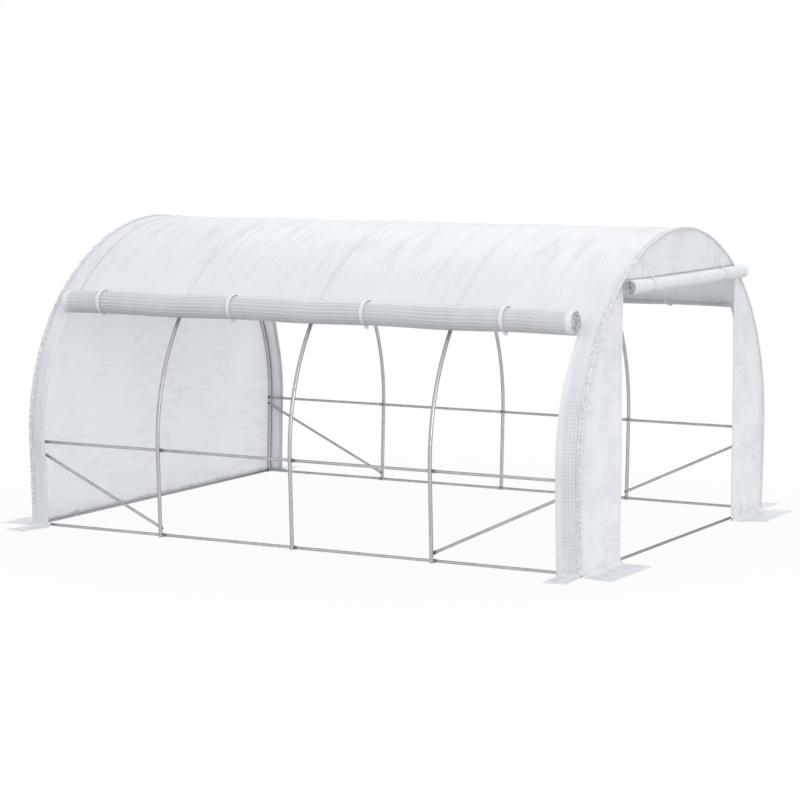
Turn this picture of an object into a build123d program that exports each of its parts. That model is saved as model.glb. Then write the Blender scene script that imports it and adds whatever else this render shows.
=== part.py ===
from build123d import *
from math import acos, atan2, cos, degrees, radians, sin, tan
import os

# A walk-in polytunnel greenhouse, 4 m long, 3 m wide and 2 m tall.
# Five bent steel hoops stand on the ground and carry a sheet of woven plastic.
# The round tubes are drawn as six-sided bars of the same width, to keep the faces few.
# Both long sides are rolled up and strapped, and so is the door in one end.
# X runs along the tunnel towards the door end, Y across it and Z up, in mm.
# The origin is on the ground, midway between the ends and the sides.

# Frame sizes
bay_length = 1000
bay_count = 4
hoop_tube_radius = 12.5
rail_tube_radius = 9.5
leg_lean = 2.4
spring_height = 620
haunch_radius = 1305
crown_radius = 1583.6
haunch_top_angle = 45

# Heights of the side rails and ends of the braces, measured up the leaning leg
base_rail_height = 12.6
mid_rail_height = 572
brace_foot_height = 58
brace_head_height = 526

# Flattened and bolted tube ends
tab_thickness = 4
tab_width = 24
tab_half_length = 20
tab_taper = 18
tab_overhang = 10.5
tab_clearance = 0.25
end_rail_tab_thickness = 3

# Cover sheet, drawn thicker than the real woven plastic
sheet = 2
band_width = 147.5
hem_width = 40
hem_thickness = 1.5
hem_top_angle = 37

# Rolled-up sides
roll_angle = 39.4
side_roll_radius = 75
side_roll_pitch = 14
side_roll_half_turns = 5
strap_places = (-1570, -555, 430, 1400)
strap_width = 25
strap_thickness = 2
strap_tail_angle = 3
strap_top_sweep = 150

# Door end
door_half_width = 920
door_head = 1690
door_roll_radius = 44
door_roll_pitch = 10
door_roll_half_turns = 4
door_roll_half_length = 950
door_roll_height = 1697
tie_offset = 600
tie_anchor_height = 1850
tie_width = 8
tie_thickness = 2
tie_foot_sweep = 40
zip_width = 24
zip_thickness = 2
zip_top = 1640

# Skirts that lie on the ground
skirt_reach_x = 2255
skirt_reach_y = 1780
skirt_corner_x = 2050
skirt_corner_y = 1560
skirt_taper = 50

# Worked out from the sizes above
half_length = bay_length * bay_count / 2
hoop_stations = [bay_length * i - half_length for i in range(bay_count + 1)]
wall_face = half_length + hoop_tube_radius
band_edge = half_length + hoop_tube_radius - band_width
crown_drop = (crown_radius - haunch_radius) * sin(radians(haunch_top_angle))
haunch_centre = (crown_drop, spring_height)
crown_centre = (0, spring_height - crown_drop)
sheet_inside = hoop_tube_radius
sheet_outside = hoop_tube_radius + sheet
roof_centre = hoop_tube_radius + sheet / 2


def haunch_point(angle, offset):
    """A point on the back haunch, as (y, z), offset outwards from the hoop's centre line."""
    reach = haunch_radius + offset
    return (
        haunch_centre[0] + reach * cos(radians(angle)),
        haunch_centre[1] + reach * sin(radians(angle)),
    )


def leg_point(height, offset):
    """A point on the back leg, as (y, z), at a height above the ground."""
    knee_y, knee_z = haunch_point(-leg_lean, offset)
    return (knee_y - (knee_z - height) * tan(radians(leg_lean)), height)


def hoop_curve(offset, foot):
    """The hoop's outline, offset outwards, from the front foot over the crown to the back foot."""
    knee = haunch_point(-leg_lean, offset)
    haunch_middle = haunch_point((haunch_top_angle - leg_lean) / 2, offset)
    shoulder = haunch_point(haunch_top_angle, offset)
    crown = (0, crown_centre[1] + crown_radius + offset)
    leg_foot = leg_point(foot, offset)
    back = [leg_foot, knee, haunch_middle, shoulder]
    front = [(-y, z) for y, z in back]
    return [
        Line(at(front[0]), at(front[1])),
        ThreePointArc(at(front[1]), at(front[2]), at(front[3])),
        ThreePointArc(at(front[3]), at(crown), at(back[3])),
        ThreePointArc(at(back[3]), at(back[2]), at(back[1])),
        Line(at(back[1]), at(back[0])),
    ]


def roof_curve(offset, end_angle):
    """The part of the outline over the crown, between equal angles on both haunches."""
    end = haunch_point(end_angle, offset)
    middle = haunch_point((end_angle + haunch_top_angle) / 2, offset)
    shoulder = haunch_point(haunch_top_angle, offset)
    crown = (0, crown_centre[1] + crown_radius + offset)
    back = [end, middle, shoulder]
    front = [(-y, z) for y, z in back]
    return [
        ThreePointArc(at(front[0]), at(front[1]), at(front[2])),
        ThreePointArc(at(front[2]), at(crown), at(back[2])),
        ThreePointArc(at(back[2]), at(back[1]), at(back[0])),
    ]


def at(point):
    """A (y, z) point in the plane X = 0."""
    return (0, point[0], point[1])


def slab(inner, outer, x_from, x_to):
    """The strip between two outlines, drawn out along X."""
    ends = [
        Line(inner[0] @ 0, outer[0] @ 0),
        Line(inner[-1] @ 1, outer[-1] @ 1),
    ]
    face = make_face([*inner, *outer, *ends])
    return Pos(x_from, 0, 0) * extrude(face, x_to - x_from, dir=(1, 0, 0))


def plate(outline, x_from, x_to):
    """A flat plate across the tunnel, from a closed outline of edges."""
    face = make_face(outline)
    return Pos(x_from, 0, 0) * extrude(face, x_to - x_from, dir=(1, 0, 0))


def tube_corners(radius):
    """A six-sided bar's corners, as wide as the round tube, with flats up and down."""
    shoulder = radius * tan(radians(27.5))
    upper = [(radius, 0), (shoulder, radius), (-shoulder, radius)]
    return upper + [(-x, -y) for x, y in upper]


def tube_section(radius):
    return Polygon(*tube_corners(radius), align=None)


def swap_ends(piece):
    return mirror(piece, Plane.YZ)


def swap_sides(piece):
    return mirror(piece, Plane.XZ)


# Hoops


def hoop(x):
    """One bent tube with straight legs that lean outwards as they rise."""
    path = Wire(hoop_curve(0, 0))
    start = Plane(path @ 0, x_dir=(1, 0, 0), z_dir=path % 0)
    tube = sweep(start * tube_section(hoop_tube_radius), path)
    ground = Pos(0, 0, -bay_length / 2) * Box(bay_length, 4 * crown_radius, bay_length)
    return Pos(x, 0, 0) * (extend_feet(tube) - ground)


def extend_feet(tube):
    """Lengthens both legs a little, so that the ground cuts them off level."""
    foot = leg_point(0, 0)
    lean = (0, sin(radians(leg_lean)), cos(radians(leg_lean)))
    start = Plane(at(foot), x_dir=(1, 0, 0), z_dir=lean)
    stub = extrude(start * tube_section(hoop_tube_radius), -hoop_tube_radius)
    return tube + stub + swap_sides(stub)


# Straight tubes with flattened ends


def crushed_fold(thickness):
    """Where a tube is pressed flat: plane folds from the tab's end at X = 0 out to the bar."""
    bar = [(tab_taper, y, z) for y, z in tube_corners(rail_tube_radius)]
    corners = ((1, 1), (-1, 1), (-1, -1), (1, -1))
    flat = [(0, y * tab_width / 2, z * thickness / 2) for y, z in corners]
    folds = [bar, flat]
    for side in (0, 1):
        middle, near, far = bar[3 * side], bar[1 + side], bar[5 - side]
        upper, lower = flat[side], flat[3 - side]
        folds += [[middle, near, upper], [middle, upper, lower], [middle, lower, far]]
    folds += [[bar[1], bar[2], flat[1], flat[0]], [bar[4], bar[5], flat[3], flat[2]]]
    return Solid(Shell([make_face(Polyline(*fold, close=True)).face() for fold in folds]))


def flattened(reach):
    """The flat tab and its fold out to the bar, pointing along +X from a bolt at 0."""
    tab = extrude(Plane.YZ * Rectangle(tab_width, tab_thickness), tab_half_length)
    fold_end = tab_half_length + tab_taper
    bar = extrude(Plane.YZ * tube_section(rail_tube_radius), reach - fold_end)
    return tab + Pos(tab_half_length, 0, 0) * crushed_fold(tab_thickness) + Pos(fold_end, 0, 0) * bar


def tab_end():
    """The clipped end of a tab, past its bolt."""
    half, clip = tab_width / 2, tab_width / 4
    corners = [(0, -half), (tab_overhang - clip, -half), (tab_overhang, -clip)]
    corners += [(x, -y) for x, y in reversed(corners)]
    outline = make_face(Polyline(*corners, close=True))
    return extrude(outline, tab_thickness / 2, both=True)


def bolted_rail(stations):
    """A rail along X whose tubes are flattened and bolted together at every station."""
    rail = Part()
    for left, right in zip(stations, stations[1:]):
        middle = (right - left) / 2
        half = flattened(middle)
        rail += Pos(left, 0, 0) * half
        rail += Pos(right, 0, 0) * mirror(half, Plane.YZ)
    rail += Pos(stations[0], 0, 0) * mirror(tab_end(), Plane.YZ)
    rail += Pos(stations[-1], 0, 0) * tab_end()
    return rail


def side_plane(height, x=0, direction=(1, 0, 0)):
    """The plane of the tabs against the inner faces of the back legs."""
    lean = radians(leg_lean)
    inwards = (0, -cos(lean), sin(lean))
    inset = hoop_tube_radius + tab_clearance + tab_thickness / 2
    y, z = leg_point(height * cos(lean), 0)
    origin = (x, y + inwards[1] * inset, z + inwards[2] * inset)
    return Plane(origin=origin, x_dir=direction, z_dir=inwards)


def side_rail(height):
    return side_plane(height).location * bolted_rail(hoop_stations)


def brace():
    """A diagonal tube from the door-end hoop down to the foot of the next one, on the back."""
    lean = radians(leg_lean)
    rise = brace_head_height - brace_foot_height
    length = (bay_length**2 + rise**2) ** 0.5
    direction = (
        bay_length / length,
        rise * sin(lean) / length,
        rise * cos(lean) / length,
    )
    foot = side_plane(brace_foot_height, hoop_stations[-2], direction)
    return foot.location * bolted_rail([0, length])


def ridge_rail():
    height = crown_centre[1] + crown_radius - hoop_tube_radius
    height -= tab_clearance + tab_thickness / 2
    return Pos(0, 0, height) * bolted_rail(hoop_stations)


def end_base_rail():
    """The tube across the door end. Its flattened ends turn a corner onto the side rails."""
    tab_face = leg_point(base_rail_height, 0)[0] - hoop_tube_radius - tab_thickness
    tab_face -= tab_width / 2 * sin(radians(leg_lean)) + 1
    rail_x = half_length - hoop_tube_radius - end_rail_tab_thickness / 2
    fold_start = tab_face - tab_half_length
    across = Plane(origin=(rail_x, 0, base_rail_height), x_dir=(0, 0, 1), z_dir=(0, 1, 0))
    bar = tube_section(rail_tube_radius)
    rail = extrude(across * bar, fold_start - tab_taper, both=True)
    inwards = Plane(
        origin=(rail_x, fold_start, base_rail_height), x_dir=(0, -1, 0), z_dir=(1, 0, 0)
    )
    neck = inwards.location * crushed_fold(end_rail_tab_thickness)
    strip = Pos(rail_x, tab_face - tab_half_length / 2, base_rail_height) * Box(
        end_rail_tab_thickness, tab_half_length, tab_width
    )
    foot_length = half_length + tab_width / 2 - rail_x
    foot = Pos(
        rail_x + foot_length / 2 - end_rail_tab_thickness / 2,
        tab_face - end_rail_tab_thickness / 2,
        base_rail_height,
    ) * Box(foot_length, end_rail_tab_thickness, tab_width)
    end = neck + strip + foot
    return rail + end + swap_sides(end)


# Cover


def roof_panel():
    """The fixed sheet over the hoops, down to where both sides are rolled up."""
    return slab(
        roof_curve(sheet_inside, roll_angle),
        roof_curve(sheet_outside, roll_angle),
        -band_edge,
        band_edge,
    )


def end_band():
    """The strip over the door-end hoop, from the ground on one side to the other."""
    return slab(
        hoop_curve(sheet_inside, sheet),
        hoop_curve(sheet_outside, sheet),
        band_edge,
        wall_face,
    )


def band_hem():
    """The doubled edge of the back leg of the end band, below the rolled-up side."""
    curves = []
    for offset in (sheet_outside, sheet_outside + hem_thickness):
        foot = at(leg_point(sheet, offset))
        knee = at(haunch_point(-leg_lean, offset))
        middle = at(haunch_point((hem_top_angle - leg_lean) / 2, offset))
        top = at(haunch_point(hem_top_angle, offset))
        curves.append([Line(foot, knee), ThreePointArc(knee, middle, top)])
    return slab(curves[0], curves[1], band_edge, band_edge + hem_width)


def end_wall():
    """The whole end sheet, up to the outside of the band."""
    outline = hoop_curve(sheet_outside, sheet)
    foot_line = Line(outline[-1] @ 1, outline[0] @ 0)
    return plate([*outline, foot_line], wall_face, wall_face + sheet)


def cutter(y_from, y_to, z_from, z_to):
    size_y, size_z = y_to - y_from, z_to - z_from
    block = Box(4 * sheet, size_y, size_z)
    return Pos(wall_face, (y_from + y_to) / 2, (z_from + z_to) / 2) * block


def door_wall_back_panel():
    """The part of the door-end wall beside the doorway, at the back."""
    return end_wall() & cutter(
        door_half_width, 2 * crown_radius, 0, 2 * crown_radius
    )


def door_wall_top_panel():
    """The part of the door-end wall over the doorway."""
    return end_wall() & cutter(
        -door_half_width, door_half_width, door_head, 2 * crown_radius
    )


def door_zip():
    """The zip tape down the back edge of the doorway."""
    height = zip_top - sheet
    block = Box(zip_thickness, zip_width, height)
    x = wall_face + sheet + zip_thickness / 2
    return Pos(x, door_half_width + zip_width / 2, sheet + height / 2) * block


# Rolled-up sheets


def roll_face(plane, radius, pitch, half_turns):
    """A wound sheet's section, from half circles about two centres in turn.

    The plane's x axis points from the roll's axis to where the sheet arrives,
    and its y axis points the way the sheet runs there.
    """
    edges = []
    for side in (-1, 1):
        for turn in range(half_turns):
            reach = radius - turn * pitch / 2 + side * sheet / 2
            centre = 0 if turn % 2 == 0 else -pitch / 2
            way = 1 if turn % 2 == 0 else -1
            edges.append(
                ThreePointArc(
                    (centre + way * reach, 0),
                    (centre, way * reach),
                    (centre - way * reach, 0),
                )
            )
    first, last = edges[0], edges[half_turns]
    edges.append(Line(first @ 0, last @ 0))
    edges.append(Line(edges[half_turns - 1] @ 1, edges[2 * half_turns - 1] @ 1))
    return plane * make_face(edges)


def side_roll_plane():
    """The plane across the back roll, with its origin on the roll's axis."""
    angle = radians(roll_angle)
    y, z = haunch_point(roll_angle, roof_centre + side_roll_radius)
    inwards = (0, -cos(angle), -sin(angle))
    return Plane(origin=(0, y, z), x_dir=inwards, z_dir=(1, 0, 0))


def side_roll():
    """The back side sheet, wound outwards from its bottom edge up to the roof panel."""
    face = roll_face(
        side_roll_plane(), side_roll_radius, side_roll_pitch, side_roll_half_turns
    )
    return extrude(face, band_edge, both=True)


def ring(centre, inner, outer, start, sweep_angle):
    """A curved strip's section about (centre, 0), by angles from the x axis."""
    points = []
    for reach in (inner, outer):
        for share in (0, 0.5, 1):
            angle = radians(start + share * sweep_angle)
            points.append((centre + reach * cos(angle), reach * sin(angle)))
    edges = [
        ThreePointArc(points[0], points[1], points[2]),
        ThreePointArc(points[3], points[4], points[5]),
        Line(points[0], points[3]),
        Line(points[2], points[5]),
    ]
    return make_face(edges)


def side_strap(x):
    """A strap round the back roll. Its tail is sewn to the inside of the roof panel."""
    plane = side_roll_plane()
    hug = side_roll_radius + sheet / 2
    under = ring(0, hug, hug + strap_thickness, 0, 180)
    top_hug = hug - side_roll_pitch / 2
    over = ring(
        -side_roll_pitch / 2, top_hug, top_hug + strap_thickness, 180, strap_top_sweep
    )
    face = plane * (under + over)
    half = strap_width / 2
    band = extrude(face, half, both=True)
    ends = (roll_angle, roll_angle + strap_tail_angle)
    curves = []
    for offset in (sheet_inside - strap_thickness, sheet_inside):
        points = [at(haunch_point(a, offset)) for a in (ends[0], sum(ends) / 2, ends[1])]
        curves.append([ThreePointArc(*points)])
    return Pos(x, 0, 0) * (band + slab(curves[0], curves[1], -half, half))


def side_straps():
    return Compound(children=[side_strap(x) for x in strap_places])


def door_roll_plane():
    """The plane across the door roll, with its origin on the roll's axis."""
    x = wall_face + sheet + door_roll_radius + sheet / 2
    return Plane(origin=(x, 0, door_roll_height), x_dir=(-1, 0, 0), z_dir=(0, -1, 0))


def door_roll():
    """The door sheet, wound outwards over the doorway."""
    face = roll_face(
        door_roll_plane(), door_roll_radius, door_roll_pitch, door_roll_half_turns
    )
    return extrude(face, door_roll_half_length, both=True)


def door_tie(y):
    """A tape from the wall over the front of the door roll and under it."""
    hug = door_roll_radius + sheet / 2
    under = ring(0, hug, hug + tie_thickness, tie_foot_sweep, 180 - tie_foot_sweep)
    top_centre = -door_roll_pitch / 2
    top_hug = hug - door_roll_pitch / 2
    middle = top_hug + tie_thickness / 2
    anchor = (door_roll_radius + sheet / 2 - tie_thickness / 2, door_roll_height - tie_anchor_height)
    run = (anchor[0] - top_centre, anchor[1])
    reach = (run[0] ** 2 + run[1] ** 2) ** 0.5
    leave = degrees(atan2(run[1], run[0]) - acos(middle / reach)) + 360
    over = ring(top_centre, top_hug, top_hug + tie_thickness, 180, leave - 180)
    off = (
        top_centre + middle * cos(radians(leave)),
        middle * sin(radians(leave)),
    )
    slope = degrees(atan2(anchor[1] - off[1], anchor[0] - off[0]))
    length = ((anchor[0] - off[0]) ** 2 + (anchor[1] - off[1]) ** 2) ** 0.5
    straight = (
        Pos(*off) * Rot(0, 0, slope) * Pos(length / 2, 0) * Rectangle(length, tie_thickness)
    )
    face = door_roll_plane() * (under + over + straight)
    return Pos(0, y, 0) * extrude(face, tie_width / 2, both=True)


def door_roll_ties():
    return Compound(children=[door_tie(-tie_offset), door_tie(tie_offset)])


# Skirts


def ground_plate(corners):
    return extrude(make_face(Polyline(*corners, close=True)), sheet)


def side_skirt():
    """The flap at the foot of the back leg of the door-end band."""
    root = leg_point(0, hoop_tube_radius)[0] + 0.5
    return ground_plate(
        [
            (band_edge, root),
            (wall_face, root),
            (skirt_corner_x, skirt_corner_y + skirt_taper),
            (skirt_corner_x, skirt_reach_y),
            (band_edge + skirt_taper, skirt_reach_y),
        ]
    )


def door_wall_back_skirt():
    """The flap at the foot of the door-end wall, at the back."""
    return ground_plate(
        [
            (wall_face, door_half_width),
            (skirt_reach_x, door_half_width + skirt_taper),
            (skirt_reach_x, skirt_corner_y),
            (skirt_corner_x, skirt_corner_y),
            (wall_face, leg_point(0, hoop_tube_radius)[0]),
        ]
    )


def closed_wall_skirt():
    """The flap along the foot of the closed end."""
    root = leg_point(0, hoop_tube_radius)[0]
    half = [
        (-wall_face, root),
        (-skirt_corner_x, skirt_corner_y),
        (-skirt_reach_x, skirt_corner_y),
    ]
    other_half = [(x, -y) for x, y in reversed(half)]
    return ground_plate(half + other_half)


def front_and_back(name, back_piece):
    return {f"front_{name}": swap_sides(back_piece), f"back_{name}": back_piece}


def four_corners(name, piece):
    return {
        **front_and_back(f"door_end_{name}", piece),
        **front_and_back(f"closed_end_{name}", swap_ends(piece)),
    }


nodes = {}
hoop_names = ["closed_end_hoop", "second_hoop", "middle_hoop", "fourth_hoop", "door_end_hoop"]
for hoop_name, station in zip(hoop_names, hoop_stations):
    nodes[hoop_name] = hoop(station)
nodes.update(front_and_back("base_rail", side_rail(base_rail_height)))
nodes.update(front_and_back("mid_rail", side_rail(mid_rail_height)))
nodes["ridge_rail"] = ridge_rail()
nodes["door_end_base_rail"] = end_base_rail()
nodes["closed_end_base_rail"] = swap_ends(nodes["door_end_base_rail"])
nodes.update(four_corners("brace", brace()))

nodes["roof_panel"] = roof_panel()
nodes["door_end_band"] = end_band()
nodes["closed_end_band"] = swap_ends(nodes["door_end_band"])
nodes.update(four_corners("hem", band_hem()))
nodes["closed_end_wall"] = swap_ends(end_wall())
nodes["door_wall_back_panel"] = door_wall_back_panel()
nodes["door_wall_front_panel"] = swap_sides(nodes["door_wall_back_panel"])
nodes["door_wall_top_panel"] = door_wall_top_panel()
nodes["door_zip_back"] = door_zip()
nodes["door_zip_front"] = swap_sides(nodes["door_zip_back"])

nodes.update(front_and_back("side_roll", side_roll()))
nodes.update(front_and_back("roll_straps", side_straps()))
nodes["door_roll"] = door_roll()
nodes["door_roll_ties"] = door_roll_ties()

nodes.update(four_corners("skirt", side_skirt()))
nodes["door_wall_back_skirt"] = door_wall_back_skirt()
nodes["door_wall_front_skirt"] = swap_sides(nodes["door_wall_back_skirt"])
nodes["closed_wall_skirt"] = closed_wall_skirt()

os.makedirs("parts", exist_ok=True)
for node_name, shape in nodes.items():
    export_step(shape, f"parts/{node_name}.step")
print(len(nodes), "nodes written")
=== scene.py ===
import math
from functools import partial
import bmesh
import bpy
from mathutils import Matrix, Vector, noise


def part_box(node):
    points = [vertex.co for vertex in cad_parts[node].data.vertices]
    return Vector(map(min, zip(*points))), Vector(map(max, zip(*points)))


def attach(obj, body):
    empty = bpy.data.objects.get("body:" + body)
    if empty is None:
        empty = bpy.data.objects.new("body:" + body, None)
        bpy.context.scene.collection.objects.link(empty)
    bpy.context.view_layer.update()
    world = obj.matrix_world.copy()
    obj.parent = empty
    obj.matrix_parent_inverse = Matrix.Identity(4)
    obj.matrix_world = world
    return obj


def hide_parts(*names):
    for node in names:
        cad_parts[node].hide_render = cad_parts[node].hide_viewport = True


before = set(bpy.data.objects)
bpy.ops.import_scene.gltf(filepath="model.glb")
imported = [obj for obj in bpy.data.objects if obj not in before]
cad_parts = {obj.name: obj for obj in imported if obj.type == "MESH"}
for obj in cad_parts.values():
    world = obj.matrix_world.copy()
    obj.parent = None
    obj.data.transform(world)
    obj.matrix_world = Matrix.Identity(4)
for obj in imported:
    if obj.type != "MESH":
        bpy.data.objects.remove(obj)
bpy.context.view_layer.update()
scene = bpy.context.scene
scene.view_settings.view_transform = "Standard"
print("frame loaded:", len(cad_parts), "nodes")

# The tunnel's shared outline: two haunch arcs and a crown arc on legs that lean out
hoopShape = {
    "halfSpan": 1.502,
    "springHeight": 0.620,
    "haunchRadius": 1.305,
    "crownRadius": 1.5836,
    "shoulderAngle": math.radians(45),
    "lean": math.radians(2.4),
    "tubeRadius": 0.0125,
    "clothOut": 0.0018,
    "bandEdge": 1.865,
}
springHeight, tubeRadius = hoopShape["springHeight"], hoopShape["tubeRadius"]
haunchRadius, crownRadius = hoopShape["haunchRadius"], hoopShape["crownRadius"]
shoulderAngle, lean = hoopShape["shoulderAngle"], hoopShape["lean"]
stations = [-2.0, -1.0, 0.0, 1.0, 2.0]
ends = (("closed_end", -1), ("door_end", 1))
sides = (("front", -1), ("back", 1))
crownDrop = (crownRadius - haunchRadius) * math.sin(shoulderAngle)
haunchCentre = (crownDrop, springHeight)
crownCentreZ = springHeight - crownDrop
crownLength = crownRadius * (math.pi / 2 - shoulderAngle)
haunchSweep = shoulderAngle + lean
haunchLength = haunchRadius * haunchSweep
kneeZ = springHeight - haunchRadius * math.sin(lean)
legLength = kneeZ / math.cos(lean)
footReach = crownLength + haunchLength + legLength
sheetOffset = tubeRadius + hoopShape["clothOut"]  # the cloth's outer face
bandEdge = hoopShape["bandEdge"]
wallFace = stations[-1] + sheetOffset


def outlinePoint(reach, offset):
    # reach runs along the hoop from the crown, minus to the front, and offset stands out from its centre line
    side = -1 if reach < 0 else 1
    reach = abs(reach)
    if reach <= crownLength:
        angle = math.pi / 2 - reach / crownRadius
        centre, radius = (0, crownCentreZ), crownRadius
    else:
        angle = shoulderAngle - min(reach - crownLength, haunchLength) / haunchRadius
        centre, radius = haunchCentre, haunchRadius
    out = Vector((math.cos(angle), math.sin(angle)))
    place = Vector(centre) + (radius + offset) * out
    below = reach - crownLength - haunchLength
    if below > 0:
        place += below * Vector((-math.sin(lean), -math.cos(lean)))
    return Vector((side * place.x, place.y)), Vector((side * out.x, out.y))


def halfWidthAt(z, offset):
    if z <= kneeZ:
        knee, _ = outlinePoint(crownLength + haunchLength, offset)
        return knee.x - (knee.y - z) * math.tan(lean)
    if z <= springHeight + (haunchRadius + offset) * math.sin(shoulderAngle):
        radius = haunchRadius + offset
        return haunchCentre[0] + math.sqrt(max(radius**2 - (z - haunchCentre[1]) ** 2, 0))
    radius = crownRadius + offset
    return math.sqrt(max(radius**2 - (z - crownCentreZ) ** 2, 0))


def crownHeightAt(y, offset):
    radius = crownRadius + offset
    return crownCentreZ + math.sqrt(radius**2 - y**2)


def areaOver(span, steps, widthAt):
    return sum(widthAt((step + 0.5) * span / steps) for step in range(steps)) * span / steps


def ripple(u, v, seed):
    return noise.noise(Vector((u, v, seed)))


def ease(value, low, high):
    share = min(max((value - low) / (high - low), 0), 1)
    return share * share * (3 - 2 * share)


def pinch(place, spots, width):
    # 1 at each spot, and falling away on both sides of it
    return sum(math.exp(-(((place - spot) / width) ** 2)) for spot in spots)


# Materials


def feed(tree, node, inputs):
    # joins each input to another node's output, or sets it to a plain value
    for key, value in inputs.items():
        if isinstance(value, bpy.types.NodeSocket):
            tree.links.new(value, node.inputs[key])
        else:
            node.inputs[key].default_value = value
    return node


def addNode(tree, kind, inputs, **settings):
    node = tree.nodes.new("ShaderNode" + kind)
    for key, value in settings.items():
        setattr(node, key, value)
    return feed(tree, node, inputs)


def mathNode(tree, operation, *values):
    return addNode(tree, "Math", dict(enumerate(values)), operation=operation).outputs[0]


def times(tree, first, second):
    return mathNode(tree, "MULTIPLY", first, second)


def rampNode(tree, value, low, high, outLow=0.0, outHigh=1.0):
    inputs = {"Value": value, "From Min": low, "From Max": high, "To Min": outLow, "To Max": outHigh}
    return addNode(tree, "MapRange", inputs, interpolation_type="SMOOTHSTEP").outputs["Result"]


def noiseNode(tree, vector, scale, detail=2.0, rough=0.5):
    inputs = {"Vector": vector, "Scale": scale, "Detail": detail, "Roughness": rough}
    return addNode(tree, "TexNoise", inputs).outputs["Fac"]


def mappingNode(tree, vector, scale, turn=0.0):
    return addNode(tree, "Mapping", {"Vector": vector, "Scale": scale, "Rotation": (0, 0, turn)}).outputs[0]


def mixColour(tree, factor, first, second, blend="MIX"):
    inputs = {0: factor, 6: first, 7: second}
    return addNode(tree, "Mix", inputs, data_type="RGBA", blend_type=blend).outputs[2]


def bumpNode(tree, height, strength, distance, under=None):
    inputs = {"Height": height, "Strength": strength, "Distance": distance}
    if under:
        inputs["Normal"] = under
    return addNode(tree, "Bump", inputs).outputs["Normal"]


def mixShaders(tree, share, first, second):
    return addNode(tree, "MixShader", {0: share, 1: first, 2: second}).outputs[0]


def seenAsBackground(tree):
    # 1 for the camera, and for what metal and glass mirror or let through
    path = addNode(tree, "LightPath", {}).outputs
    seen = mathNode(tree, "MAXIMUM", path["Is Camera Ray"], path["Is Glossy Ray"])
    return mathNode(tree, "MAXIMUM", seen, path["Is Transmission Ray"])


def newGroup(name, inputs, outputs):
    # an input given as None is a vector, and each other one a number with its usual value
    group = bpy.data.node_groups.new(name, "ShaderNodeTree")
    for label, value in inputs.items():
        kind = "NodeSocketVector" if value is None else "NodeSocketFloat"
        socket = group.interface.new_socket(name=label, in_out="INPUT", socket_type=kind)
        if value is not None:
            socket.default_value = value
    for label in outputs:
        group.interface.new_socket(name=label, in_out="OUTPUT", socket_type="NodeSocketFloat")
    return group, group.nodes.new("NodeGroupInput").outputs, group.nodes.new("NodeGroupOutput")


weaveLook = {"wanderScale": 9.0, "wander": 0.006, "fine": 0.0035, "fineHeight": 0.12}


def buildWeaveGroup():
    # the reinforcing threads that cross the sheet in squares, and the fine weave between them
    look = weaveLook
    inputs = {"Metres": None, "Pitch": 0.022, "Thread Share": 0.22, "Across": 1.0, "Along": 1.0}
    group, given, result = newGroup("scrimWeave", inputs, ("Threads", "Height"))
    metres = given["Metres"]
    uneven = addNode(group, "TexNoise", {"Vector": metres, "Scale": look["wanderScale"], "Detail": 2.0})
    shift = {0: uneven.outputs["Color"], 1: (look["wander"], look["wander"], 0.0), 2: metres}
    shifted = addNode(group, "VectorMath", shift, operation="MULTIPLY_ADD")
    split = addNode(group, "SeparateXYZ", {0: shifted.outputs[0]}).outputs
    lines, waves = [], []
    for axis, strength in (("X", "Across"), ("Y", "Along")):
        cell = mathNode(group, "DIVIDE", split[axis], given["Pitch"])
        away = mathNode(group, "SUBTRACT", mathNode(group, "FRACT", cell), 0.5)
        near = mathNode(group, "SUBTRACT", 0.5, given["Thread Share"])
        line = rampNode(group, mathNode(group, "ABSOLUTE", away), near, 0.5)
        lines.append(times(group, line, given[strength]))
        waves.append(mathNode(group, "SINE", times(group, split[axis], 2 * math.pi / look["fine"])))
    threads = mathNode(group, "MAXIMUM", *lines)
    height = mathNode(group, "MULTIPLY_ADD", times(group, *waves), look["fineHeight"], threads)
    feed(group, result, {"Threads": threads, "Height": height})
    return group


creaseLook = {
    "pullDetail": 4.0,
    "pullRough": 0.55,
    "pullRange": (0.34, 0.60),
    "clusterScale": 2.6,
    "clusterRange": (0.36, 0.62),
    "clusterKeep": 0.15,
    "lineWidth": 0.055,
    "lineRange": (0.42, 0.58),
    "lineHeight": 0.08,
}


def buildCreaseGroup():
    # soft pulls that gather in clusters, and thin creases among them that show only in the height; the first
    # output is the mask for painted shade along the soft pulls
    look = creaseLook
    inputs = {"Metres": None, "Place": None, "Pull Scale": 9.0, "Crease Scale": 5.0}
    group, given, result = newGroup("softCreases", inputs, ("Crease Shade", "Height"))
    pulls = noiseNode(group, given["Metres"], given["Pull Scale"], look["pullDetail"], look["pullRough"])
    lines = noiseNode(group, given["Metres"], given["Crease Scale"])
    level = mathNode(group, "ABSOLUTE", mathNode(group, "SUBTRACT", lines, 0.5))
    clusters = noiseNode(group, given["Place"], look["clusterScale"])
    sharp = rampNode(group, level, 0.0, look["lineWidth"], 1.0, 0.0)
    sharp = times(group, sharp, rampNode(group, clusters, *look["lineRange"]))
    soft = rampNode(group, pulls, *look["pullRange"], 1.0, 0.0)
    gathered = rampNode(group, clusters, *look["clusterRange"], look["clusterKeep"], 1.0)
    height = mathNode(group, "MULTIPLY_ADD", sharp, look["lineHeight"], pulls)
    feed(group, result, {"Crease Shade": times(group, soft, gathered), "Height": height})
    return group


grimeLook = {"splash": 0.16, "blotchScale": 14.0, "blotchRange": (0.45, 0.75), "soil": (0.45, 0.42, 0.37, 1)}


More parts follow.
